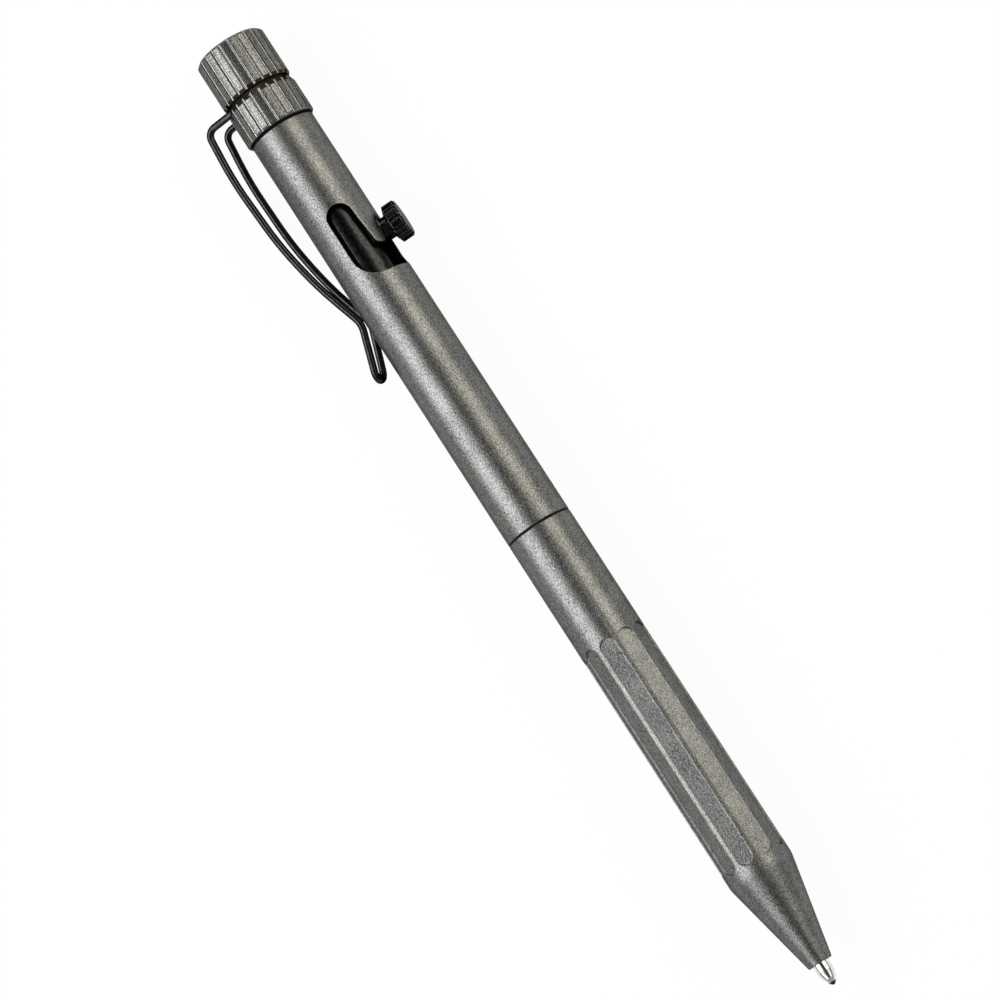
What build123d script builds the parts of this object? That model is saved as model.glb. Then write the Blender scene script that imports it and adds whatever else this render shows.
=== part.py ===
from build123d import *
from math import asin, atan2, cos, degrees, pi, radians, sin, sqrt
import os

os.makedirs("parts", exist_ok=True)

# A bolt action pen lying on its side. X runs along the pen's axis with the writing tip towards +X.
# The origin is on the axis, at the shoulder where the lower barrel meets the joint ring.
# +Y is the side on which the bolt stands when it is locked, and +Z is up.
# An azimuth is the angle about the pen's axis from +Z towards +Y, in degrees.

# Outer sizes of the pen
body_radius = 4.6
cap_radius = 5.05
lower_barrel_length = 66.2
collar_length = 5.8
cap_length = 7.35
tip_out = 3.2

# Soft rings between the metal parts
joint_ring_thickness = 0.26
joint_ring_radius = 4.54
collar_gasket_thickness = 0.25
collar_gasket_radius = 4.4
cap_washer_thickness = 0.15
cap_washer_radius = 4.55

# Shared clearances and overruns
edge_break = 0.06
running_clearance = 0.05
thread_clearance = 0.06
seat_gap = 0.02
overrun = 1.0

# J-shaped slot in the upper barrel, measured from the locked bolt
slot_width = 3.7
slot_behind_bolt = 5.53
slot_ahead_of_bolt = 5.54
slot_corner_radius = 3.6
long_leg_azimuth = 9.4
lock_azimuth = 90
tongue_ahead_of_bolt = 1.77
tongue_tip_width = 1.6
tongue_tip_azimuth = 51.5
tongue_tip_radius = 0.76
tongue_long_taper = 5.4
tongue_lock_taper = 3.2

# Bolt: a fluted knob on a round stem, screwed into the slider
bolt_behind_refill = 15.69
stem_radius = 1.59
shank_radius = 1.25
shank_depth = 1.0
knob_radius = 2.75
knob_base = 5.17
knob_thickness = 2.16
knob_back_chamfer = 0.85
knob_back_height = 0.35
knob_rim_chamfer = 0.26
knob_flutes = 12
knob_flute_width = 0.6
knob_flute_depth = 0.24

# Bore of the upper barrel, its end wall and its neck inside the collar
bore_radius = 3.5
end_wall = 3.5
neck_radius = 3.9
neck_length = 3.55

# Slider that carries the bolt
slider_flat = 2.9
slider_behind_bolt = 10.09
room_behind_slider = 5.07
slider_end_chamfer = 0.3
slider_cup_depth = 1.0
slider_cup_clearance = 0.1

# Flutes of the tail cap and of the clip collar
flutes = 24
flute_azimuth = 10
flute_width = 0.5
flute_depth = 0.22
cap_crown_chamfer = 0.37
cap_front_bevel_in = 0.26
cap_front_bevel_long = 0.42
collar_back_bevel_in = 0.38
collar_back_bevel_long = 1.0
collar_front_bevel_in = 0.36
collar_front_bevel_long = 0.38

# Threaded stud in the cap
stud_radius = 2.0
stud_pitch = 0.7
stud_in_cap = 5.3
stud_turns = 9
stud_thread_depth = 0.36
thread_share = 0.42
thread_runout = 0.35

# Wire pocket clip: a hairpin whose two ends lie in channels across the collar
clip_azimuth = -103
wire_radius = 0.5
clip_half_width = 2.75
clip_loop_half_width = 1.38
clip_inner_reach = 2.2
clip_bend_reach = 8.0
clip_reach = 8.72
clip_toe_reach = 7.3
clip_length = 40.2
clip_bend_radius = 1.35
clip_bow_radius = 50
clip_heel_radius = 3.2
clip_gap = 0.03
clip_heel_share = 0.82
channel_clearance = 0.05
channel_end_clearance = 0.25
channel_pivot_reach = 4.75
channel_shallow_length = 0.75
channel_relief = 0.42

# Lower barrel: threaded spigot, milled grip slots, cone and stepped bore
spigot_radius = 3.72
spigot_pitch = 0.75
spigot_turns = 8
spigot_thread_depth = 0.3
spigot_relief = 0.35
grip_slots = 10
grip_slot_width = 2.2
grip_slot_start_x = 17.1
grip_slot_margin = 1.45
grip_slot_floor = 4.32
grip_slot_azimuth = -4.4
cone_length = 13.7
shoulder_round = 3.0
nose_radius = 1.73
nose_edge = 0.08

# Refill and its front parts
refill_length = 98.1
refill_radius = 2.975
refill_wall = 0.35
refill_clearance = 0.075
refill_tip_radius = 1.15
refill_tip_length = 10.4
refill_neck_radius = 1.55
refill_neck_length = 13.8
refill_flange = 1.0
refill_plug_reach = 3.0
refill_tail_radius = 0.9
refill_tail_length = 3.3
ink_channel_radius = 0.5
tip_channel_radius = 0.22
tip_taper_length = 1.9
tip_rim_radius = 0.44
tip_taper_bulge = 0.16
crown_length = 1.5
crown_radius = 2.4
crown_notches = 4
crown_notch_width = 0.8
crown_notch_depth = 0.9
crown_hole_radius = 0.5
follower_length = 4.0
ink_back_gap = 18.0
ball_radius = 0.35
ball_clearance = 0.015
ball_out = 0.25

# Return spring round the refill's neck
spring_wire_radius = 0.22
spring_mean_radius = 2.1
spring_turns = 9
spring_seat_depth = 8.0
spring_bore_radius = 2.6
spring_bore_depth = 16.2
guide_bore_radius = 1.7
tip_bore_radius = 1.25
tip_bore_length = 2.0

# Stations along the axis, worked out from the lengths. The refill sets where the bolt stands.
nose_end_x = lower_barrel_length
tip_end_x = nose_end_x + tip_out
refill_back_x = tip_end_x - refill_length
bolt_x = refill_back_x - bolt_behind_refill
slider_back_x = bolt_x - slider_behind_bolt
bore_back_x = slider_back_x - room_behind_slider
upper_front_x = -joint_ring_thickness
upper_shoulder_x = bore_back_x - end_wall
collar_front_x = upper_shoulder_x - collar_gasket_thickness
collar_back_x = collar_front_x - collar_length
cap_front_x = collar_back_x - cap_washer_thickness
cap_back_x = cap_front_x - cap_length


def radial_plane(azimuth, reach=0, along=0):
    """Plane square to an azimuth: local x along the pen, local y towards larger azimuths."""
    out = (0, sin(radians(azimuth)), cos(radians(azimuth)))
    return Plane(
        origin=(along, reach * out[1], reach * out[2]), x_dir=(1, 0, 0), z_dir=out
    )


def half_plane(azimuth):
    """Plane through the axis: local x along the pen, local y outwards at the azimuth."""
    side = (0, -cos(radians(azimuth)), sin(radians(azimuth)))
    return Plane(origin=(0, 0, 0), x_dir=(1, 0, 0), z_dir=side)


def off_centre(half_width, radius):
    """Angle in degrees at which a flat-sided cut of that half width meets a radius."""
    return degrees(asin(half_width / radius))


def around(start_azimuth):
    """Start angle, in a plane square to the axis, of a ring of copies that begins at an azimuth."""
    return 90 - start_azimuth


def flute_profile(width, depth):
    """Draws one round-bottomed flute in the open sketch, as the circle of its cutter."""
    cutter_radius = (width * width / 4 + depth * depth) / (2 * depth)
    with Locations((cutter_radius - depth, 0)):
        Circle(cutter_radius)


def between_biarc(start, start_way, end, end_way):
    """Point where two arcs meet smoothly between two points with given directions."""
    chord = end - start
    ways = start_way + end_way
    turn = 2 * (1 - start_way.dot(end_way))
    along = chord.dot(ways)
    reach = (sqrt(along * along + turn * chord.dot(chord)) - along) / turn
    return (start + start_way * reach + end - end_way * reach) * 0.5


def on_helix(angle, start_x, radius, pitch):
    """Point and direction on a right-handed helix about the pen's axis, angle in radians."""
    at = Vector(
        start_x + pitch * angle / (2 * pi), radius * cos(angle), radius * sin(angle)
    )
    way = Vector(pitch / (2 * pi), -radius * sin(angle), radius * cos(angle))
    return at, way.normalized()


def add_helix(start_x, radius, pitch, turns):
    """Draws a helix in the open BuildLine as pairs of tangent arcs, one pair a quarter turn."""
    for quarter in range(4 * turns):
        start, start_way = on_helix(quarter * pi / 2, start_x, radius, pitch)
        end, end_way = on_helix((quarter + 1) * pi / 2, start_x, radius, pitch)
        middle = between_biarc(start, start_way, end, end_way)
        first = TangentArc(start, middle, tangent=start_way)
        TangentArc(middle, end, tangent=first % 1)


def least_gap(points, turn_steps, wire_diameter):
    """Smallest gap of a wound tube to itself, measured between points a half turn or more apart."""
    closest = min(
        (points[i] - points[j]).length
        for i in range(len(points))
        for j in range(i + turn_steps // 2, len(points))
    )
    return closest - wire_diameter


# Upper barrel
# A tube with a tapped end wall and a neck that locates the collar. The J-shaped slot is milled
# through its wall and lets the bolt slide, turn and drop into the lock leg.
neck_back_x = upper_shoulder_x - neck_length
socket_radius = spigot_radius + thread_clearance
spigot_length = spigot_pitch * spigot_turns
socket_back_x = -spigot_length - spigot_relief - edge_break
stud_hole_radius = stud_radius + thread_clearance
lock_edge_x = bolt_x - stem_radius - seat_gap
slot_back_x = bolt_x - slot_behind_bolt
slot_bottom_x = bolt_x + slot_ahead_of_bolt
tongue_tip_x = bolt_x + tongue_ahead_of_bolt
half_slot = slot_width / 2
leg_spread = off_centre(half_slot, body_radius)
long_leg_end = long_leg_azimuth + leg_spread

with BuildPart() as upper_barrel:
    with BuildSketch(Plane.XY):
        with BuildLine():
            Polyline(
                (neck_back_x, stud_hole_radius),
                (neck_back_x, neck_radius),
                (upper_shoulder_x, neck_radius),
                (upper_shoulder_x, body_radius - edge_break),
                (upper_shoulder_x + edge_break, body_radius),
                (upper_front_x - edge_break, body_radius),
                (upper_front_x, body_radius - edge_break),
                (upper_front_x, socket_radius),
                (socket_back_x, socket_radius),
                (socket_back_x, bore_radius),
                (bore_back_x, bore_radius),
                (bore_back_x, stud_hole_radius),
                close=True,
            )
        make_face()
    revolve(axis=Axis.X)

    # long leg with its large outer corner
    with BuildSketch(radial_plane(long_leg_azimuth)):
        with BuildLine():
            leg_centre_x = slot_back_x + half_slot
            Line((leg_centre_x, half_slot), (slot_bottom_x, half_slot))
            Line(
                (slot_bottom_x, half_slot),
                (slot_bottom_x, slot_corner_radius - half_slot),
            )
            RadiusArc(
                (slot_bottom_x, slot_corner_radius - half_slot),
                (slot_bottom_x - slot_corner_radius, -half_slot),
                slot_corner_radius,
            )
            Line(
                (slot_bottom_x - slot_corner_radius, -half_slot),
                (leg_centre_x, -half_slot),
            )
            ThreePointArc(
                (leg_centre_x, -half_slot),
                (slot_back_x, 0),
                (leg_centre_x, half_slot),
            )
        make_face()
    extrude(amount=body_radius + overrun, mode=Mode.SUBTRACT)

    # lock leg, whose back end the stem rests in
    with BuildSketch(radial_plane(lock_azimuth)):
        with BuildLine():
            lock_centre_x = lock_edge_x + half_slot
            Line((lock_centre_x, -half_slot), (slot_bottom_x, -half_slot))
            Line((slot_bottom_x, -half_slot), (slot_bottom_x, 0))
            TangentArc(
                (slot_bottom_x, 0), (slot_bottom_x - half_slot, half_slot), tangent=(0, 1)
            )
            Line((slot_bottom_x - half_slot, half_slot), (lock_centre_x, half_slot))
            ThreePointArc(
                (lock_centre_x, half_slot), (lock_edge_x, 0), (lock_centre_x, -half_slot)
            )
        make_face()
    extrude(amount=body_radius + overrun, mode=Mode.SUBTRACT)

    # passage round the tongue from one leg to the other
    with BuildSketch(half_plane(long_leg_end)):
        with BuildLine():
            Polyline(
                (tongue_tip_x, bore_radius - overrun),
                (slot_bottom_x, bore_radius - overrun),
                (slot_bottom_x, body_radius + overrun),
                (tongue_tip_x, body_radius + overrun),
                close=True,
            )
        make_face()
    revolve(
        axis=Axis((0, 0, 0), (-1, 0, 0)),
        revolution_arc=lock_azimuth - long_leg_end,
        mode=Mode.SUBTRACT,
    )

    # tapered flanks and round tip of the tongue
    tongue_left = body_radius * sin(radians(long_leg_end - tongue_tip_azimuth))
    tongue_right = body_radius * sin(
        radians(lock_azimuth - leg_spread - tongue_tip_azimuth)
    )
    with BuildSketch(radial_plane(tongue_tip_azimuth)) as tongue_trim:
        with BuildLine():
            Polyline(
                (tongue_tip_x - tongue_long_taper, tongue_left),
                (tongue_tip_x + seat_gap, tongue_left),
                (tongue_tip_x + seat_gap, tongue_right),
                (tongue_tip_x - tongue_long_taper, tongue_right),
                close=True,
            )
        make_face()
        with BuildSketch(radial_plane(tongue_tip_azimuth), mode=Mode.PRIVATE) as tongue:
            with BuildLine():
                Polyline(
                    (tongue_tip_x - tongue_long_taper, tongue_left),
                    (tongue_tip_x, -tongue_tip_width / 2),
                    (tongue_tip_x, tongue_tip_width / 2),
                    (tongue_tip_x - tongue_lock_taper, tongue_right),
                    (tongue_tip_x - tongue_long_taper, tongue_right),
                    close=True,
                )
            make_face()
            fillet(
                tongue.vertices().sort_by(Axis.X)[-2:], radius=tongue_tip_radius
            )
        add(tongue.sketch, mode=Mode.SUBTRACT)
    extrude(amount=body_radius + overrun, mode=Mode.SUBTRACT)

upper_barrel.part.label = "upper_barrel"
export_step(upper_barrel.part, "parts/upper_barrel.step")

# Slider
# A round bar that runs in the bore. It has a flat that the stem's foot stands on, a tapped hole
# for the stem's shank, and a cup in its front end for the refill's crown.
slider_radius = bore_radius - running_clearance
slider_front_x = refill_back_x + slider_cup_depth

with BuildPart() as bolt_slider:
    with BuildSketch(Plane.XY):
        with BuildLine():
            Polyline(
                (slider_back_x, 0),
                (slider_back_x, slider_radius - slider_end_chamfer),
                (slider_back_x + slider_end_chamfer, slider_radius),
                (slider_front_x - slider_end_chamfer, slider_radius),
                (slider_front_x, slider_radius - slider_end_chamfer),
                (slider_front_x, crown_radius + slider_cup_clearance),
                (refill_back_x, crown_radius + slider_cup_clearance),
                (refill_back_x, 0),
                close=True,
            )
        make_face()
    revolve(axis=Axis.X)
    with BuildSketch(radial_plane(lock_azimuth, slider_flat)):
        with BuildLine():
            Polyline(
                (slider_back_x - overrun, -slider_radius),
                (slider_front_x + overrun, -slider_radius),
                (slider_front_x + overrun, slider_radius),
                (slider_back_x - overrun, slider_radius),
                close=True,
            )
        make_face()
    extrude(amount=slider_radius, mode=Mode.SUBTRACT)
    with BuildSketch(radial_plane(lock_azimuth, -shank_depth - seat_gap, bolt_x)):
        Circle(shank_radius)
    extrude(amount=shank_depth + seat_gap + slider_radius, mode=Mode.SUBTRACT)

bolt_slider.part.label = "bolt_slider"
export_step(bolt_slider.part, "parts/bolt_slider.step")

# Bolt knob
# The knob, stem and shank are turned in one piece. The knob's rim is fluted for the thumb.
knob_end = knob_base + knob_thickness

with BuildPart() as bolt_knob:
    with BuildSketch(Plane((bolt_x, 0, 0), x_dir=(1, 0, 0), z_dir=(0, 0, 1))) as turned:
        with BuildLine():
            Polyline(
                (0, -shank_depth),
                (shank_radius, -shank_depth),
                (shank_radius, slider_flat),
                (stem_radius, slider_flat),
                (stem_radius, knob_base),
                (knob_radius - knob_back_chamfer, knob_base),
                (knob_radius, knob_base + knob_back_height),
                (knob_radius, knob_end - knob_rim_chamfer),
                (knob_radius - knob_rim_chamfer, knob_end),
                (0, knob_end),
                close=True,
            )
        make_face()
    revolve(axis=Axis((bolt_x, 0, 0), (0, 1, 0)))
    with BuildSketch(radial_plane(lock_azimuth, knob_base - overrun, bolt_x)):
        with PolarLocations(knob_radius, knob_flutes):
            flute_profile(knob_flute_width, knob_flute_depth)
    extrude(amount=knob_thickness + 2 * overrun, mode=Mode.SUBTRACT)

bolt_knob.part.label = "bolt_knob"
export_step(bolt_knob.part, "parts/bolt_knob.step")

# Collar gasket
# A thin black ring on the barrel's neck, under the clip collar.
with BuildPart() as collar_gasket:
    with BuildSketch(Plane.YZ.offset(collar_front_x)):
        Circle(collar_gasket_radius)
        Circle(neck_radius, mode=Mode.SUBTRACT)
    extrude(amount=collar_gasket_thickness)

collar_gasket.part.label = "collar_gasket"
export_step(collar_gasket.part, "parts/collar_gasket.step")

# Clip collar
# A fluted ring that slips over the barrel's neck. Two blind channels in its back face take the
# ends of the clip's wire, one on each side of the stud.
collar_core_radius = neck_radius + running_clearance
collar_web_x = neck_back_x - running_clearance
wire_x = collar_back_x + wire_radius + seat_gap
channel_floor_x = wire_x + wire_radius + channel_clearance
channel_half = wire_radius + channel_clearance
channel_end = -clip_inner_reach - channel_end_clearance
channel_step = channel_pivot_reach - channel_shallow_length
clip_out = Vector(0, sin(radians(clip_azimuth)), cos(radians(clip_azimuth)))
clip_side = Vector(0, cos(radians(clip_azimuth)), -sin(radians(clip_azimuth)))


def flute_cuts(back_x, front_x):
    """Cuts the flutes of the cap and the collar between two stations of the open part."""
    with BuildSketch(Plane.YZ.offset(back_x - overrun)) as ring:
        with PolarLocations(cap_radius, flutes, start_angle=around(flute_azimuth)):
            flute_profile(flute_width, flute_depth)
    extrude(ring.sketch, amount=front_x - back_x + 2 * overrun, mode=Mode.SUBTRACT)


with BuildPart() as clip_collar:
    with BuildSketch(Plane.XY):
        with BuildLine():
            Polyline(
                (collar_back_x, stud_hole_radius),
                (collar_back_x, cap_radius - collar_back_bevel_in),
                (collar_back_x + collar_back_bevel_long, cap_radius),
                (collar_front_x - collar_front_bevel_long, cap_radius),
                (collar_front_x, cap_radius - collar_front_bevel_in),
                (collar_front_x, collar_core_radius),
                (collar_web_x, collar_core_radius),
                (collar_web_x, stud_hole_radius),
                close=True,
            )
        make_face()
    revolve(axis=Axis.X)
    flute_cuts(collar_back_x, collar_front_x)
    across_clip = Plane(origin=(collar_back_x, 0, 0), x_dir=clip_out, z_dir=(1, 0, 0))
    for side in (-1, 1):
        middle = side * clip_half_width
        with BuildSketch(across_clip):
            with BuildLine():
                Polyline(
                    (channel_end, middle - channel_half),
                    (cap_radius + overrun, middle - channel_half),
                    (cap_radius + overrun, middle + channel_half),
                    (channel_end, middle + channel_half),
                    close=True,
                )
            make_face()
        extrude(amount=channel_floor_x - collar_back_x, mode=Mode.SUBTRACT)
        with BuildSketch(across_clip):
            with BuildLine():
                Polyline(
                    (channel_end, middle - channel_half),
                    (channel_step, middle - channel_half),
                    (channel_step, middle + channel_half),
                    (channel_end, middle + channel_half),
                    close=True,
                )
            make_face()
        extrude(
            amount=channel_floor_x + channel_relief - collar_back_x, mode=Mode.SUBTRACT
        )

clip_collar.part.label = "clip_collar"
export_step(clip_collar.part, "parts/clip_collar.step")

# Pocket clip
# One length of round spring wire. Both ends lie in the collar's channels, turn through a right
# angle and run beside the barrel, bow in until they touch it, and turn out again into a loop.
run_shares = (0.183, 0.45, 0.636)
bow_shares = (1, 0.952, 0.8)


def clip_width(share):
    """Half width of the hairpin at a share of its length."""
    return clip_half_width + (clip_loop_half_width - clip_half_width) * share


def clip_point(run, reach, width):
    """Point of the clip from its distance past the collar, out from the axis and off its middle."""
    return Vector(wire_x + run, 0, 0) + clip_out * reach + clip_side * width


clip_leg = [
    (0, -clip_inner_reach, clip_half_width),
    (0, clip_bend_reach, clip_half_width),
]
for run_share, bow_share in zip(run_shares, bow_shares):
    clip_leg.append(
        (clip_length * run_share, clip_reach * bow_share, clip_width(run_share))
    )

# The heel's corner lies so far in that its round just meets the barrel.
heel_run = clip_length * clip_heel_share
heel_width = clip_width(clip_heel_share)
touch_radius = body_radius + wire_radius + clip_gap
touch_reach = sqrt(touch_radius**2 - heel_width**2)
fall = atan2(clip_leg[-1][1] - touch_reach, heel_run - clip_leg[-1][0])
rise = atan2(clip_toe_reach - touch_reach, clip_length - heel_run)
heel_reach = touch_reach - clip_heel_radius * (1 / cos((fall + rise) / 2) - 1)
clip_leg.append((heel_run, heel_reach, heel_width))
clip_leg.append((clip_length, clip_toe_reach, clip_loop_half_width))
clip_radii = [clip_bend_radius]
clip_radii += [clip_bow_radius for share in run_shares]
clip_radii += [clip_heel_radius, clip_loop_half_width - seat_gap]
clip_points = [clip_point(*place) for place in clip_leg]
clip_points += [clip_point(run, reach, -width) for run, reach, width in clip_leg[::-1]]

with BuildPart() as pocket_clip:
    with BuildLine() as clip_path:
        FilletPolyline(*clip_points, radius=clip_radii + clip_radii[::-1])
    wire_start = Plane(origin=clip_points[0], x_dir=(1, 0, 0), z_dir=clip_out)
    with BuildSketch(wire_start):
        Circle(wire_radius)
    sweep(path=clip_path.wires()[0])

pocket_clip.part.label = "pocket_clip"
export_step(pocket_clip.part, "parts/pocket_clip.step")
print(
    "clip volume over section times length",
    pocket_clip.part.volume / (pi * wire_radius**2 * clip_path.wires()[0].length),
)

# Cap washer
# A thin black washer that the cap presses on the clip's wires.
with BuildPart() as cap_washer:
    with BuildSketch(Plane.YZ.offset(cap_front_x)):
        Circle(cap_washer_radius)
        Circle(stud_hole_radius, mode=Mode.SUBTRACT)
    extrude(amount=cap_washer_thickness)

cap_washer.part.label = "cap_washer"
export_step(cap_washer.part, "parts/cap_washer.step")

# Tail cap
# A short fluted bar with a flat crown and a blind hole for the stud.
with BuildPart() as tail_cap:
    with BuildSketch(Plane.XY):
        with BuildLine():
            Polyline(
                (cap_back_x, 0),
                (cap_back_x, cap_radius - cap_crown_chamfer),
                (cap_back_x + cap_crown_chamfer, cap_radius),
                (cap_front_x - cap_front_bevel_long, cap_radius),
                (cap_front_x, cap_radius - cap_front_bevel_in),
                (cap_front_x, stud_radius),
                (cap_front_x - stud_in_cap, stud_radius),
                (cap_front_x - stud_in_cap, 0),
                close=True,
            )
        make_face()
    revolve(axis=Axis.X)
    flute_cuts(cap_back_x, cap_front_x)

tail_cap.part.label = "tail_cap"
export_step(tail_cap.part, "parts/tail_cap.step")


def thread_groove(start_x, end_x, radius, pitch, depth):
    """Cuts a right-handed V groove round the open part between two stations."""
    with BuildLine() as lead:
        Helix(
            pitch=pitch,
            height=end_x - start_x,
            radius=radius,
            center=(start_x, 0, 0),
            direction=(1, 0, 0),
        )
    helix = lead.wires()[0]
    half = pitch * thread_share
    with BuildSketch(Plane(origin=helix @ 0, x_dir=(0, 0, 1), z_dir=helix % 0)) as groove:
        Polygon((-depth, 0), (depth, -half), (depth, half), align=None)
    sweep(groove.sketch, path=helix, is_frenet=True, mode=Mode.SUBTRACT)


# Cap stud
# A threaded rod fixed in the cap. It passes between the clip's wires into the barrel's end wall.
stud_front_x = neck_back_x + stud_pitch * stud_turns

with BuildPart() as cap_stud:
    with BuildSketch(Plane.XY):
        with BuildLine():
            Polyline(
                (cap_front_x - stud_in_cap, 0),
                (cap_front_x - stud_in_cap, stud_radius),
                (stud_front_x - edge_break, stud_radius),
                (stud_front_x, stud_radius - edge_break),
                (stud_front_x, 0),
                close=True,
            )
        make_face()
    revolve(axis=Axis.X)
    thread_groove(
        cap_front_x + thread_runout,
        stud_front_x - thread_runout,
        stud_radius,
        stud_pitch,
        stud_thread_depth,
    )

cap_stud.part.label = "cap_stud"
export_step(cap_stud.part, "parts/cap_stud.step")

# Joint ring
# A thin black ring on the spigot, squeezed between the two barrels.
with BuildPart() as joint_ring:
    with BuildSketch(Plane.YZ.offset(upper_front_x)):
        Circle(joint_ring_radius)
        Circle(spigot_radius + running_clearance, mode=Mode.SUBTRACT)
    extrude(amount=joint_ring_thickness)

joint_ring.part.label = "joint_ring"
export_step(joint_ring.part, "parts/joint_ring.step")

# Lower barrel
# The spigot screws into the upper barrel. Ten round-ended slots are milled in the grip, and the
# bore steps down past the refill, the spring, the refill's neck and its tip.
refill_bore_radius = refill_radius + refill_clearance
spigot_back_x = -spigot_length - spigot_relief
thread_root_radius = spigot_radius - spigot_thread_depth
tip_bore_back_x = nose_end_x - tip_bore_length
spring_seat_x = nose_end_x - spring_seat_depth
spring_bore_back_x = nose_end_x - spring_bore_depth
shoulder_x = nose_end_x - cone_length
grip_slot_length = shoulder_x - grip_slot_margin - grip_slot_start_x

with BuildPart() as lower_barrel:
    with BuildSketch(Plane.XY) as section:
        with BuildLine():
            Polyline(
                (spigot_back_x, refill_bore_radius),
                (spigot_back_x, spigot_radius - edge_break),
                (spigot_back_x + edge_break, spigot_radius),
                (-spigot_relief, spigot_radius),
                (-spigot_relief, thread_root_radius),
                (0, thread_root_radius),
                (0, body_radius - edge_break),
                (edge_break, body_radius),
                (shoulder_x, body_radius),
                (nose_end_x - nose_edge, nose_radius),
                (nose_end_x, nose_radius - nose_edge),
                (nose_end_x, tip_bore_radius),
                (tip_bore_back_x, tip_bore_radius),
                (tip_bore_back_x, guide_bore_radius),
                (spring_seat_x, guide_bore_radius),
                (spring_seat_x, spring_bore_radius),
                (spring_bore_back_x, spring_bore_radius),
                (spring_bore_back_x, refill_bore_radius),
                close=True,
            )
        make_face()
        shoulder = section.vertices().sort_by_distance((shoulder_x, body_radius, 0))[0]
        fillet(shoulder, radius=shoulder_round)
    revolve(axis=Axis.X)
    grip_middle_x = grip_slot_start_x + grip_slot_length / 2
    for slot in range(grip_slots):
        slot_azimuth = grip_slot_azimuth + slot * 360 / grip_slots
        with BuildSketch(radial_plane(slot_azimuth, grip_slot_floor, grip_middle_x)):
            SlotOverall(grip_slot_length, grip_slot_width)
        extrude(amount=overrun, mode=Mode.SUBTRACT)
    thread_groove(
        spigot_back_x + thread_runout,
        -spigot_relief - thread_runout,
        spigot_radius,
        spigot_pitch,
        spigot_thread_depth,
    )

lower_barrel.part.label = "lower_barrel"
export_step(lower_barrel.part, "parts/lower_barrel.step")

# Return spring
# A coil of round wire between the refill's flange and the seat in the lower barrel.
flange_front_x = tip_end_x - refill_tip_length - refill_neck_length
spring_back_x = flange_front_x + seat_gap + spring_wire_radius
spring_front_x = spring_seat_x - seat_gap - spring_wire_radius
spring_pitch = (spring_front_x - spring_back_x) / spring_turns
gap_steps = 24
spring_points = [
    on_helix(step * 2 * pi / gap_steps, spring_back_x, spring_mean_radius, spring_pitch)[0]
    for step in range(gap_steps * spring_turns + 1)
]

with BuildPart() as return_spring:
    with BuildLine() as coil:
        add_helix(spring_back_x, spring_mean_radius, spring_pitch, spring_turns)
    coil_start, coil_way = on_helix(0, spring_back_x, spring_mean_radius, spring_pitch)
    with BuildSketch(Plane(origin=coil_start, x_dir=(0, 1, 0), z_dir=coil_way)):
        Circle(spring_wire_radius)
    sweep(path=coil.wires()[0])

return_spring.part.label = "return_spring"
export_step(return_spring.part, "parts/return_spring.step")
print("spring turns", spring_turns)
print("least gap", least_gap(spring_points, gap_steps, 2 * spring_wire_radius))

# Refill tube
# A thin metal tube that holds the ink.
flange_back_x = flange_front_x - refill_flange
tube_back_x = refill_back_x + crown_length
ink_radius = refill_radius - refill_wall

with BuildPart() as refill_tube:
    with BuildSketch(Plane.YZ.offset(tube_back_x)):
        Circle(refill_radius)
        Circle(ink_radius, mode=Mode.SUBTRACT)
    extrude(amount=flange_back_x - tube_back_x)

refill_tube.part.label = "refill_tube"
export_step(refill_tube.part, "parts/refill_tube.step")

# Refill crown
# The notched plastic plug that closes the tube's back end, with an air hole.
with BuildPart() as refill_crown:
    with BuildSketch(Plane.XY):
        with BuildLine():
            Polyline(
                (refill_back_x, crown_hole_radius),
                (refill_back_x, crown_radius),
                (tube_back_x, crown_radius),
                (tube_back_x, ink_radius),
                (tube_back_x + refill_plug_reach, ink_radius),
                (tube_back_x + refill_plug_reach, crown_hole_radius),
                close=True,
            )
        make_face()
    revolve(axis=Axis.X)
    with BuildSketch(Plane.YZ.offset(refill_back_x)):
        with PolarLocations(crown_radius, crown_notches):
            Rectangle(2 * crown_notch_depth, crown_notch_width)
    extrude(amount=crown_notch_depth, mode=Mode.SUBTRACT)

refill_crown.part.label = "refill_crown"
export_step(refill_crown.part, "parts/refill_crown.step")

# Refill socket
# The brass front end: a plug in the tube, the flange that the spring pushes on, and the neck.
neck_front_x = tip_end_x - refill_tip_length
socket_plug_x = flange_back_x - refill_plug_reach
tail_back_x = neck_front_x - refill_tail_length

with BuildPart() as refill_socket:
    with BuildSketch(Plane.XY):
        with BuildLine():
            Polyline(
                (socket_plug_x, ink_channel_radius),
                (socket_plug_x, ink_radius),
                (flange_back_x, ink_radius),
                (flange_back_x, refill_radius),
                (flange_front_x, refill_radius),
                (flange_front_x, refill_neck_radius),
                (neck_front_x - edge_break, refill_neck_radius),
                (neck_front_x, refill_neck_radius - edge_break),
                (neck_front_x, refill_tail_radius),
                (tail_back_x, refill_tail_radius),
                (tail_back_x, ink_channel_radius),
                close=True,
            )
        make_face()
    revolve(axis=Axis.X)

refill_socket.part.label = "refill_socket"
export_step(refill_socket.part, "parts/refill_socket.step")

# Refill tip
# The slim nickel silver point. Its rim is turned in round the ball so that the ball can't fall out.
ball_x = tip_end_x - ball_radius
rim_x = tip_end_x - ball_out
cavity_radius = ball_radius + ball_clearance
cavity_mouth = sqrt(cavity_radius**2 - (rim_x - ball_x) ** 2)
cavity_back_x = ball_x - sqrt(cavity_radius**2 - tip_channel_radius**2)
taper_back_x = rim_x - tip_taper_length

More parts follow.
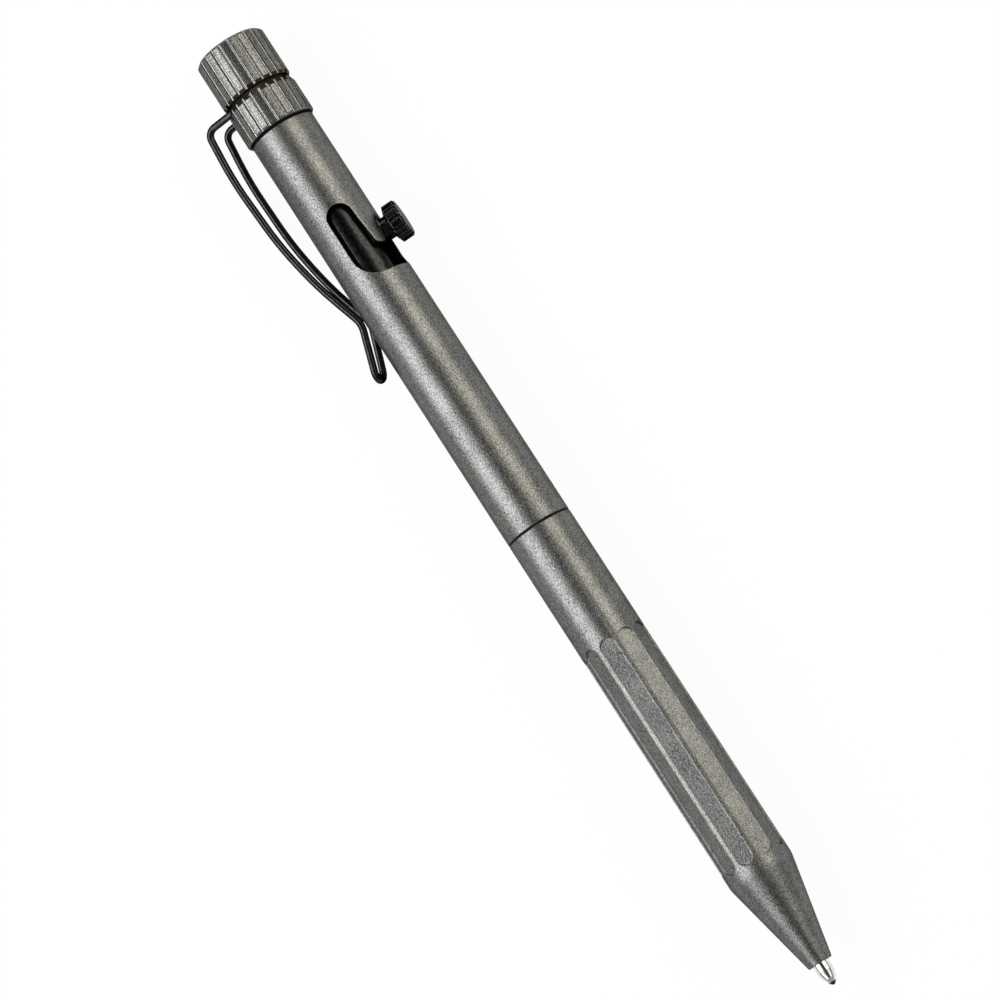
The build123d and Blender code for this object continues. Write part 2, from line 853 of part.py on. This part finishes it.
with BuildPart() as refill_tip:
    with BuildSketch(Plane.XY):
        with BuildLine():
            Polyline(
                (rim_x, tip_rim_radius),
                (rim_x, cavity_mouth),
            )
            ThreePointArc(
                (rim_x, cavity_mouth), (ball_x, cavity_radius), (cavity_back_x, tip_channel_radius)
            )
            Polyline(
                (cavity_back_x, tip_channel_radius),
                (tail_back_x, tip_channel_radius),
                (tail_back_x, refill_tail_radius),
                (neck_front_x, refill_tail_radius),
                (neck_front_x, refill_tip_radius),
                (taper_back_x, refill_tip_radius),
            )
            ThreePointArc(
                (taper_back_x, refill_tip_radius),
                (
                    (taper_back_x + rim_x) / 2,
                    (refill_tip_radius + tip_rim_radius) / 2 + tip_taper_bulge,
                ),
                (rim_x, tip_rim_radius),
            )
        make_face()
    revolve(axis=Axis.X)

refill_tip.part.label = "refill_tip"
export_step(refill_tip.part, "parts/refill_tip.step")

# Writing ball
# The hard ball that rolls in the tip's rim.
with BuildPart() as writing_ball:
    with BuildSketch(Plane.XY):
        with BuildLine():
            Line((ball_x - ball_radius, 0), (ball_x + ball_radius, 0))
            ThreePointArc(
                (ball_x + ball_radius, 0), (ball_x, ball_radius), (ball_x - ball_radius, 0)
            )
        make_face()
    revolve(axis=Axis.X)

writing_ball.part.label = "writing_ball"
export_step(writing_ball.part, "parts/writing_ball.step")

# Ink and follower
# The ink fills the tube behind the socket, and a plug of clear grease follows it forward.
ink_back_x = tube_back_x + refill_plug_reach + ink_back_gap

with BuildPart() as ink_column:
    with BuildSketch(Plane.YZ.offset(ink_back_x)):
        Circle(ink_radius)
    extrude(amount=socket_plug_x - ink_back_x)

ink_column.part.label = "ink_column"
export_step(ink_column.part, "parts/ink_column.step")

with BuildPart() as ink_follower:
    with BuildSketch(Plane.YZ.offset(ink_back_x - follower_length)):
        Circle(ink_radius)
    extrude(amount=follower_length)

ink_follower.part.label = "ink_follower"
export_step(ink_follower.part, "parts/ink_follower.step")
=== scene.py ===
from math import cos, pi, sin

import bpy
from mathutils import Matrix, Vector


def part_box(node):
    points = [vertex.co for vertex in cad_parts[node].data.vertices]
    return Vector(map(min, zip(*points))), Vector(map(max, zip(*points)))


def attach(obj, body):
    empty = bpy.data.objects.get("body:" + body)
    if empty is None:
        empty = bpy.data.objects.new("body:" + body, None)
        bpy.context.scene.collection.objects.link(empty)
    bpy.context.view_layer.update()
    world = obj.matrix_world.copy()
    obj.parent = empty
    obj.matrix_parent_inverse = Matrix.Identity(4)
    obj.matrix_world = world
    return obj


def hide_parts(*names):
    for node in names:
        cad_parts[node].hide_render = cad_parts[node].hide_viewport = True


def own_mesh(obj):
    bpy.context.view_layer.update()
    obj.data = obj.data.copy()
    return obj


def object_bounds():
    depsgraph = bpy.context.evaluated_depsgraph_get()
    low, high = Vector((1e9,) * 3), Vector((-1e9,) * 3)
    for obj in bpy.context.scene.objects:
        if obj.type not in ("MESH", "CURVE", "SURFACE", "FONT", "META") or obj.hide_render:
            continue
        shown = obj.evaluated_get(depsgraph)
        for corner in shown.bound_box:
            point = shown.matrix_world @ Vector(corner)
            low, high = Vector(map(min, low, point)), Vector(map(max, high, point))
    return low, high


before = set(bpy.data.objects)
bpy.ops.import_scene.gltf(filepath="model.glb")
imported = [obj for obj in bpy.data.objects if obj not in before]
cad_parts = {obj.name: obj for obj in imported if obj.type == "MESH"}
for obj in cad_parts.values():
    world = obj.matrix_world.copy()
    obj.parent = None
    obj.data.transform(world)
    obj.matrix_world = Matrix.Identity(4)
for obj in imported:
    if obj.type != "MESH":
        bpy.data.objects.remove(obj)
cad_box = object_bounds()
mm = 0.001

# Studio
# The pen lies on a white table between two long softboxes, a cool one beside the clip and a warm one
# beside the bolt, each with a weaker one towards the tip. A dim lamp stands beyond the cap, and a
# dark strip hangs over the pen's length.
eye = Vector((76.7, 52.836, 502.697)) * mm
ahead = Vector((-0.161527, -0.107602, -0.980985))
down = Vector((0.82904, -0.554036, -0.075737))
camera = bpy.data.objects.new("camera", bpy.data.cameras.new("camera"))
camera.data.lens = 142.26
camera.data.sensor_width = 36
camera.data.clip_start = 10 * mm
turned = Matrix((down.cross(ahead), -down, -ahead)).transposed()
camera.matrix_world = Matrix.Translation(eye) @ turned.to_4x4()
bpy.context.collection.objects.link(camera)
bpy.context.scene.camera = camera
bpy.context.scene.view_settings.view_transform = "Standard"

air_strength = 0.38
world = bpy.data.worlds.new("studio air")
bpy.context.scene.world = world
world.use_nodes = True
world.node_tree.nodes["Background"].inputs["Color"].default_value = (1, 1, 1, 1)
world.node_tree.nodes["Background"].inputs["Strength"].default_value = air_strength


def softbox(name, place, size, power, colour):
    """A rectangular lamp beside the table or beyond its end, leaning over towards the pen."""
    lamp = bpy.data.lights.new(name, "AREA")
    lamp.shape = "RECTANGLE"
    lamp.size, lamp.size_y = size
    lamp.energy = power
    lamp.color = colour
    holder = bpy.data.objects.new(name, lamp)
    beside = place[1] != 0
    along = Vector((1, 0, 0) if beside else (0, 1, 0))
    back = Vector((0 if beside else place[0], place[1], place[2])).normalized()
    leaning = Matrix((along, back.cross(along), back)).transposed()
    holder.matrix_world = Matrix.Translation(place) @ leaning.to_4x4()
    holder.visible_camera = False
    bpy.context.collection.objects.link(holder)


cool_light, warm_light, plain_light = (0.985, 1.0, 1.03), (1.0, 0.945, 0.83), (1.0, 1.0, 1.0)
softbox("cool softbox", (-0.21, -0.517, 0.541), (0.70, 0.55), 4.95, cool_light)
softbox("warm softbox", (-0.21, 0.535, 0.482), (0.70, 0.44), 2.7, warm_light)
softbox("cool fill", (0.44, -0.52, 0.538), (0.60, 0.34), 1.35, cool_light)
softbox("warm fill", (0.44, 0.50, 0.517), (0.60, 0.26), 0.5, warm_light)
softbox("lamp beyond the cap", (-1.0, 0, 0.42), (0.5, 0.35), 1.4, plain_light)


def new_finish(name):
    """An empty finish, its nodes and its shader."""
    made = bpy.data.materials.new(name)
    made.use_nodes = True
    return made, made.node_tree, made.node_tree.nodes["Principled BSDF"]


def put(tree, kind, values=None, **settings):
    """Adds a node with settings and with values on its sockets."""
    node = tree.nodes.new("ShaderNode" + kind)
    for key, value in settings.items():
        setattr(node, key, value)
    for key, value in (values or {}).items():
        if isinstance(value, bpy.types.NodeSocket):
            tree.links.new(value, node.inputs[key])
        else:
            node.inputs[key].default_value = value
    return node


def reckon(tree, operation, *values):
    """The result of one sum, done at each place."""
    return put(tree, "Math", dict(enumerate(values)), operation=operation).outputs[0]


def flat_card(name, x_ends, y_ends, height, paint):
    """A flat level studio surface."""
    (left, right), (near, far) = x_ends, y_ends
    corners = [(left, near), (right, near), (right, far), (left, far)]
    mesh = bpy.data.meshes.new(name)
    mesh.from_pydata([(x, y, height) for x, y in corners], [], [(0, 1, 2, 3)])
    mesh.materials.append(paint)
    card = bpy.data.objects.new(name, mesh)
    bpy.context.collection.objects.link(card)
    return card


background_share = 0.95
table_paint, paint_tree, paint_shader = new_finish("white table")
paint_shader.inputs["Base Color"].default_value = (0.9, 0.9, 0.9, 1)
paint_shader.inputs["Roughness"].default_value = 0.9
rays = put(paint_tree, "LightPath").outputs
seen = reckon(paint_tree, "MAXIMUM", rays["Is Camera Ray"], rays["Is Glossy Ray"])
seen = reckon(paint_tree, "MAXIMUM", seen, rays["Is Transmission Ray"])
glow = put(paint_tree, "Emission", {"Color": (1, 1, 1, 1)})
glowing = reckon(paint_tree, "MULTIPLY", seen, background_share)
mixed_paint = {0: glowing, 1: paint_shader.outputs[0], 2: glow.outputs[0]}
shown = put(paint_tree, "MixShader", mixed_paint).outputs[0]
paint_tree.links.new(shown, paint_tree.nodes["Material Output"].inputs["Surface"])
table_half, table_gap = 2, 0.02 * mm
table_top = cad_box[0][2] - table_gap
flat_card("table", (-table_half, table_half), (-table_half, table_half), table_top, table_paint)

card_paint, _, card_shader = new_finish("dark card")
card_shader.inputs["Base Color"].default_value = (0.022, 0.019, 0.015, 1)
strip = flat_card("strip overhead", (-0.9, 1.1), (-0.13, 0.33), 1.0, card_paint)
strip.visible_camera = False

# Barrels
# Two tubes turned and milled from metal bar, then blasted with fine beads to a gunmetal grey. The
# upper one is near black in its bore and on the walls of its slot.


def object_place(tree):
    """Each point's place on the pen."""
    return put(tree, "TexCoord").outputs["Object"]


def noise(tree, place, scale, detail, roughness=0.5):
    """Cloudy or grainy variation at a scale."""
    values = {"Vector": place, "Scale": scale, "Detail": detail, "Roughness": roughness}
    return put(tree, "TexNoise", values).outputs["Fac"]


def spread(tree, value, start, end, low=0.0, high=1.0):
    """A value from start to end, laid out again from low to high."""
    return put(tree, "MapRange", {0: value, 1: start, 2: end, 3: low, 4: high}).outputs[0]


def ramp(tree, share, low, low_colour, high, high_colour):
    """A colour that runs from one to another as the share grows."""
    node = put(tree, "ValToRGB", {"Fac": share})
    node.color_ramp.elements[0].position = low
    node.color_ramp.elements[0].color = (*low_colour, 1)
    node.color_ramp.elements[1].position = high
    node.color_ramp.elements[1].color = (*high_colour, 1)
    return node.outputs["Color"]


def tint(tree, share, first, second):
    """The first colour, with a share of the second."""
    return put(tree, "Mix", {0: share, 6: first, 7: (*second, 1)}, data_type="RGBA").outputs[2]


def within(tree, value, low, high):
    """One where a value lies between two others, and else nothing."""
    return reckon(tree, "COMPARE", value, (low + high) / 2, (high - low) / 2)


def part_along(tree, vector):
    """How much of a place or a direction lies along the pen."""
    return put(tree, "SeparateXYZ", {0: vector}).outputs["X"]


def off_axis(tree, place):
    """Distance from the pen's axis."""
    axes = put(tree, "SeparateXYZ", {0: place})
    across = put(tree, "CombineXYZ", {1: axes.outputs["Y"], 2: axes.outputs["Z"]})
    return put(tree, "VectorMath", {0: across.outputs[0]}, operation="LENGTH").outputs["Value"]


def bumps(tree, shader, height, strength, depth, edge):
    """Fine relief over softly broken edges. Gives back the way that the soft edges face."""
    soft_edge = put(tree, "Bevel", {"Radius": edge}, samples=6).outputs[0]
    values = {"Strength": strength, "Distance": depth, "Height": height, "Normal": soft_edge}
    tree.links.new(put(tree, "Bump", values).outputs[0], shader.inputs["Normal"])
    return soft_edge


def edge_share(tree, soft_edge):
    """One on an edge and nothing off it, by how far the soft edge faces away from the surface."""
    off_the_edge, full_edge = 0.985, 0.87
    facing = put(tree, "NewGeometry").outputs["Normal"]
    agree = put(tree, "VectorMath", {0: soft_edge, 1: facing}, operation="DOT_PRODUCT")
    return spread(tree, agree.outputs["Value"], off_the_edge, full_edge)


def metallic(shader, glancing=(1, 1, 1)):
    """Sets a shader to metal, with the colour that it takes at a glancing angle."""
    shader.inputs["Metallic"].default_value = 1
    shader.inputs["Specular Tint"].default_value = (*glancing, 1)


def dress(node_name, made):
    """Gives a finish to a piece of the frame."""
    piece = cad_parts[node_name]
    piece.data.materials.clear()
    piece.data.materials.append(made)


def blasted_metal(name, edge, wear, sheen=(0.26, 0.4), darkening=None, black=None, cut=None):
    """Bead-blasted metal whose edges are a little worn along the pen and have painted shade round
    it.
    The sheen is the least and the most roughness. The darkening gives the share of a dark colour,
    which is painted shade on the flutes and near black in the bore, and black is that colour. The
    cut gives the share of bright metal from a cutter."""
    dark_grain, bright_grain = (0.05, 0.051, 0.048), (0.3, 0.303, 0.289)
    # The second colour, with the middle number on the next line, is painted shade on edges round the
    # pen.
    rubbed_edge, edge_shade = (0.5, 0.5, 0.48), (0.03, 0.03, 0.028)
    cloud_share, edge_shading, polish = 0.12, 1.6, 0.12
    least_lean, full_lean = 0.08, 0.3
    made, tree, shader = new_finish(name)
    place = object_place(tree)
    grain = noise(tree, place, scale=5200.0, detail=3.0, roughness=0.65)
    pits = noise(tree, place, scale=9500.0, detail=1.0)
    clouds = noise(tree, place, scale=260.0, detail=2.0)
    fine = reckon(tree, "MULTIPLY", grain, 1 - cloud_share)
    mixed = reckon(tree, "MULTIPLY_ADD", clouds, cloud_share, fine)
    colour = ramp(tree, mixed, 0.34, dark_grain, 0.68, bright_grain)
    soft_edge = bumps(tree, shader, grain, strength=1.0, depth=0.04 * mm, edge=edge)
    on_edge = edge_share(tree, soft_edge)
    lean = reckon(tree, "ABSOLUTE", part_along(tree, soft_edge))
    round_it = reckon(tree, "MULTIPLY", on_edge, spread(tree, lean, least_lean, full_lean))
    along_it = reckon(tree, "SUBTRACT", on_edge, round_it)
    worn = reckon(tree, "MULTIPLY", along_it, wear)
    if cut:
        worn = reckon(tree, "MAXIMUM", worn, cut(tree, place))
    colour = tint(tree, worn, colour, rubbed_edge)
    # Painted shade on the edges that run round the pen, such as the ends of the grip's slots.
    colour = tint(tree, reckon(tree, "MULTIPLY", round_it, edge_shading * wear), colour, edge_shade)
    # Painted shade on the flutes, and near black in the upper barrel's bore and slot.
    if darkening:
        colour = tint(tree, darkening(tree, place), colour, black)
    tree.links.new(colour, shader.inputs["Base Color"])
    metallic(shader, glancing=(0.35, 0.35, 0.34))
    rough = spread(tree, pits, 0.25, 0.75, *sheen)
    smoother = reckon(tree, "MULTIPLY_ADD", worn, -polish, rough)
    tree.links.new(smoother, shader.inputs["Roughness"])
    return made


dark_bore_radius = 4.47 * mm


def inside_the_tube(tree, place):
    """Near black in the bore and on the walls of the slot."""
    return within(tree, off_axis(tree, place), 0, dark_bore_radius)


dress(
    "upper_barrel",
    blasted_metal(
        "blasted metal of the upper barrel",
        edge=0.14 * mm,
        wear=0.5,
        darkening=inside_the_tube,
        black=(0.014, 0.0135, 0.012),
    ),
)
dress("lower_barrel", blasted_metal("blasted metal of the grip", edge=0.18 * mm, wear=0.3))

# Slider and bolt
# A round bar runs in the bore, and the turned and fluted knob is screwed into it. The bar is dark
# and satin, the knob has a smooth black coating over steel.


def lathe_rings(tree, place, gap):
    """The wave that the lathe leaves round the bolt's own axis, with a gap from ring to ring."""
    knob_low, knob_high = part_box("bolt_knob")
    axes = put(tree, "SeparateXYZ", {0: place})
    along = reckon(tree, "SUBTRACT", axes.outputs["X"], (knob_low[0] + knob_high[0]) / 2)
    across = put(tree, "CombineXYZ", {0: along, 2: axes.outputs["Z"]})
    reach = put(tree, "VectorMath", {0: across.outputs[0]}, operation="LENGTH")
    turn = reckon(tree, "MULTIPLY", reach.outputs["Value"], 2 * pi / gap)
    return reckon(tree, "SINE", turn)


def roughen(tree, shader, cloud, low, high):
    """Roughness that goes from low to high with a cloudy variation."""
    tree.links.new(spread(tree, cloud, 0, 1, low, high), shader.inputs["Roughness"])


def black_coating(name, dark, light, roughness, edge, wear, ring_gap=None):
    """Black coating over steel, thin at its edges by the wear, with the lathe's rings round the bolt
    where their gap is given."""
    ring_share, bare_steel = 0.5, (0.5, 0.5, 0.5)
    made, tree, shader = new_finish(name)
    place = object_place(tree)
    ripple = noise(tree, place, scale=2200.0, detail=3.0)
    colour = ramp(tree, ripple, 0.3, dark, 0.7, light)
    metallic(shader, glancing=(0.15, 0.15, 0.15))
    roughen(tree, shader, ripple, 0.7 * roughness, 1.3 * roughness)
    height = ripple
    if ring_gap:
        rings = lathe_rings(tree, place, ring_gap)
        height = reckon(tree, "MULTIPLY_ADD", rings, ring_share, ripple)
    soft_edge = bumps(tree, shader, height, strength=0.25, depth=0.015 * mm, edge=edge)
    bare = reckon(tree, "MULTIPLY", edge_share(tree, soft_edge), wear)
    tree.links.new(tint(tree, bare, colour, bare_steel), shader.inputs["Base Color"])
    return made


dress(
    "bolt_slider",
    black_coating(
        "dark slider",
        dark=(0.0155, 0.016, 0.016),
        light=(0.04, 0.041, 0.0405),
        roughness=0.22,
        edge=0.1 * mm,
        wear=0.1,
    ),
)
dress(
    "bolt_knob",
    black_coating(
        "black knob",
        dark=(0.008, 0.008, 0.009),
        light=(0.031, 0.031, 0.033),
        roughness=0.24,
        edge=0.07 * mm,
        wear=0.8,
        ring_gap=0.24 * mm,
    ),
)

# Rings
# Three thin flat washers cut from soft black rubber. They fill the joints under the collar, under
# the cap and between the barrels.


def black_rubber(name):
    """Matt black rubber."""
    made, tree, shader = new_finish(name)
    dust = noise(tree, object_place(tree), scale=3000.0, detail=4.0)
    colour = ramp(tree, dust, 0.35, (0.003, 0.003, 0.003), 0.75, (0.009, 0.009, 0.009))
    tree.links.new(colour, shader.inputs["Base Color"])
    roughen(tree, shader, dust, 0.7, 0.95)
    shader.inputs["Specular IOR Level"].default_value = 0.12
    bumps(tree, shader, dust, strength=0.4, depth=0.01 * mm, edge=0.04 * mm)
    return made


rubber = black_rubber("black rubber")
for ring in ("collar_gasket", "cap_washer", "joint_ring"):
    dress(ring, rubber)

# Collar, clip and cap
# The collar and the cap are fluted and blasted like the barrels, with painted shade on the walls of
# the flutes, in the groove between them and on the collar's front rim. The clip is one length of
# wire with a glossy black coating, bent on formers and held in the collar's channels.
collar_back, collar_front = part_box("clip_collar")[0][0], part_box("clip_collar")[1][0]
groove_back, groove_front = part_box("tail_cap")[1][0] - 0.45 * mm, collar_back + 1.02 * mm
rim_back, rim_front = collar_front - 0.16 * mm, collar_front + 0.1 * mm
flute_floor, flute_side, flute_top = 4.8 * mm, 4.88 * mm, 5.03 * mm
# The first share is the strength of the painted shade on the flutes' walls.
flute_wall_shade_share, floor_share, bevel_lean = 0.9, 0.24, 0.2


def painted_flute_shade(tree, place):
    """Painted shade on the flutes' sides, on the bevels that face each other and on the
    collar's front rim.
    """
    facing = put(tree, "NewGeometry").outputs["True Normal"]
    lean = reckon(tree, "ABSOLUTE", part_along(tree, facing))
    along = part_along(tree, place)
    groove = within(tree, along, groove_back, groove_front)
    rim = within(tree, along, rim_back, rim_front)
    sloping, upright = within(tree, lean, bevel_lean, 1.1), within(tree, lean, -0.1, bevel_lean)
    bevel = reckon(tree, "MULTIPLY", sloping, reckon(tree, "MAXIMUM", groove, rim))
    on_side = within(tree, off_axis(tree, place), flute_side, flute_top)
    side = reckon(tree, "MULTIPLY", upright, on_side)
    return reckon(tree, "MAXIMUM", bevel, reckon(tree, "MULTIPLY", side, flute_wall_shade_share))


def floor_of_the_flutes(tree, place):
    """The bright cut along the middle of each flute."""
    floor = within(tree, off_axis(tree, place), flute_floor, flute_side)
    return reckon(tree, "MULTIPLY", floor, floor_share)


fluted_metal = blasted_metal(
    "blasted metal of the flutes",
    edge=0.05 * mm,
    wear=0.0,
    sheen=(0.19, 0.33),
    # Painted shade in the flutes and on the bevels, in the dark colour below.
    darkening=painted_flute_shade,
    black=(0.036, 0.031, 0.023),
    cut=floor_of_the_flutes,
)
dress("clip_collar", fluted_metal)
dress("tail_cap", fluted_metal)
dress(
    "pocket_clip",
    black_coating(
        "black wire",
        dark=(0.018, 0.018, 0.02),
        light=(0.044, 0.044, 0.048),
        roughness=0.09,
        edge=0.05 * mm,
        wear=0,
    ),
)

# Stud
# A threaded rod of bright turned steel. It is fixed in the cap and screws into the end wall of the
# upper barrel.
round_marks, long_marks = (9000.0, 500.0, 500.0), (300.0, 6000.0, 6000.0)


def bright_metal(name, dark, light, roughness, marks, ink_from=None):
    """Bright metal with fine marks that run round the pen's axis or along it, and with ink on it
    from a place on the axis."""
    made, tree, shader = new_finish(name)
    place = object_place(tree)
    stretched = put(tree, "Mapping", {"Vector": place, "Scale": marks}).outputs[0]
    scratches = noise(tree, stretched, scale=1.0, detail=4.0)
    colour = ramp(tree, scratches, 0.3, dark, 0.7, light)
    if ink_from is not None:
        wet = spread(tree, part_along(tree, place), ink_from - 0.12 * mm, ink_from + 0.06 * mm)
        colour = tint(tree, wet, colour, (0.008, 0.008, 0.01))
    tree.links.new(colour, shader.inputs["Base Color"])
    metallic(shader)
    roughen(tree, shader, scratches, 0.7 * roughness, 1.3 * roughness)
    bumps(tree, shader, scratches, strength=0.12, depth=0.006 * mm, edge=0.03 * mm)
    return made


dress(
    "cap_stud",
    bright_metal(
        "stud steel",
        dark=(0.42, 0.42, 0.43),
        light=(0.6, 0.6, 0.61),
        roughness=0.28,
        marks=round_marks,
    ),
)

# Return spring
# Nine open turns of cold-drawn steel wire round the refill's neck, cut off square with the burrs
# taken away. It stands on its seat in the grip, against the refill's flange.
spring_back, spring_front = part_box("return_spring")[0][0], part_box("return_spring")[1][0]
wire_radius, winding_radius, turns = 0.22 * mm, 2.1 * mm, 9
turn_steps, wire_sides, end_bevel = 48, 14, 0.05 * mm


def wire_rings():
    """Angle and radius of each ring of the wire, closing in over a small bevel at both ends."""
    rings = [(step * 2 * pi / turn_steps, wire_radius) for step in range(turns * turn_steps + 1)]
    start, end = rings[0][0], rings[-1][0]
    bevel_turn, least_radius = end_bevel / winding_radius, wire_radius - end_bevel
    back_end = [(start, least_radius), (start + bevel_turn, wire_radius)]
    front_end = [(end - bevel_turn, wire_radius), (end, least_radius)]
    return back_end + rings[1:-1] + front_end


def coil_of_wire(name, finish):
    """The wound wire as a tube of rings, with a flat cut at both ends."""
    first, last = spring_back + wire_radius, spring_front - wire_radius
    lead = (last - first) / (2 * pi * turns)
    points, faces = [], []
    for angle, radius in wire_rings():
        outward = Vector((0, cos(angle), sin(angle)))
        middle = Vector((first + lead * angle, 0, 0)) + winding_radius * outward
        way = Vector((lead, -winding_radius * sin(angle), winding_radius * cos(angle))).normalized()
        beside = way.cross(outward)
        for side in range(wire_sides):
            turn = side * 2 * pi / wire_sides
            points.append(middle + radius * (cos(turn) * outward + sin(turn) * beside))
    for here in range(0, len(points) - wire_sides, wire_sides):
        there = here + wire_sides
        for side in range(wire_sides):
            next_side = (side + 1) % wire_sides
            faces.append((here + side, here + next_side, there + next_side, there + side))
    faces.append(tuple(reversed(range(wire_sides))))
    faces.append(tuple(range(len(points) - wire_sides, len(points))))
    mesh = bpy.data.meshes.new(name)
    mesh.from_pydata(points, [], faces)
    mesh.polygons.foreach_set("use_smooth", [len(face) == 4 for face in faces])
    mesh.materials.append(finish)
    wound = bpy.data.objects.new(name, mesh)
    bpy.context.collection.objects.link(wound)
    return wound


spring_wire = bright_metal(
    "spring wire",
    dark=(0.5, 0.5, 0.5),
    light=(0.66, 0.66, 0.65),
    roughness=0.22,
    marks=long_marks,
)
coil = coil_of_wire("spring_coil", spring_wire)
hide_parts("return_spring")
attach(coil, "front")
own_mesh(coil)

# Refill
# A drawn steel tube with a black plastic plug behind, a turned brass socket in front and a nickel
# silver tip that is swaged round a hard dark ball. It holds ink behind which a plug of grease moves.
inked_length = 0.42 * mm
dress(
    "refill_tube",
    bright_metal(
        "drawn tube",
        dark=(0.5, 0.5, 0.51),
        light=(0.64, 0.64, 0.65),
        roughness=0.24,
        marks=long_marks,
    ),
)
dress(
    "refill_socket",
    bright_metal(
        "turned brass",
        dark=(0.6, 0.42, 0.17),
        light=(0.78, 0.58, 0.27),
        roughness=0.24,
        marks=round_marks,
    ),
)
dress(
    "refill_tip",
    bright_metal(
        "nickel silver",
        dark=(0.74, 0.72, 0.69),
        light=(0.84, 0.82, 0.79),
        roughness=0.045,
        marks=round_marks,
        ink_from=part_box("writing_ball")[1][0] - inked_length,
    ),
)
dress(
    "writing_ball",
    bright_metal(
        "hard ball",
        dark=(0.02, 0.02, 0.022),
        light=(0.05, 0.05, 0.055),
        roughness=0.16,
        marks=long_marks,
    ),
)


def moulded(name, dark, light, roughness, speckle):
    """A soft or moulded body with a fine cloudy surface."""
    made, tree, shader = new_finish(name)
    cloud = noise(tree, object_place(tree), scale=speckle, detail=3.0)
    tree.links.new(ramp(tree, cloud, 0.3, dark, 0.7, light), shader.inputs["Base Color"])
    roughen(tree, shader, cloud, roughness - 0.08, roughness + 0.08)
    bumps(tree, shader, cloud, strength=0.15, depth=0.02 * mm, edge=0.05 * mm)
    return made


dress(
    "refill_crown",
    moulded(
        "black plastic",
        dark=(0.01, 0.01, 0.01),
        light=(0.02, 0.02, 0.021),
        roughness=0.4,
        speckle=1800.0,
    ),
)
dress(
    "ink_column",
    moulded(
        "ink",
        dark=(0.002, 0.002, 0.006),
        light=(0.006, 0.006, 0.014),
        roughness=0.12,
        speckle=900.0,
    ),
)
dress(
    "ink_follower",
    moulded(
        "grease",
        dark=(0.55, 0.47, 0.27),
        light=(0.68, 0.6, 0.38),
        roughness=0.3,
        speckle=700.0,
    ),
)
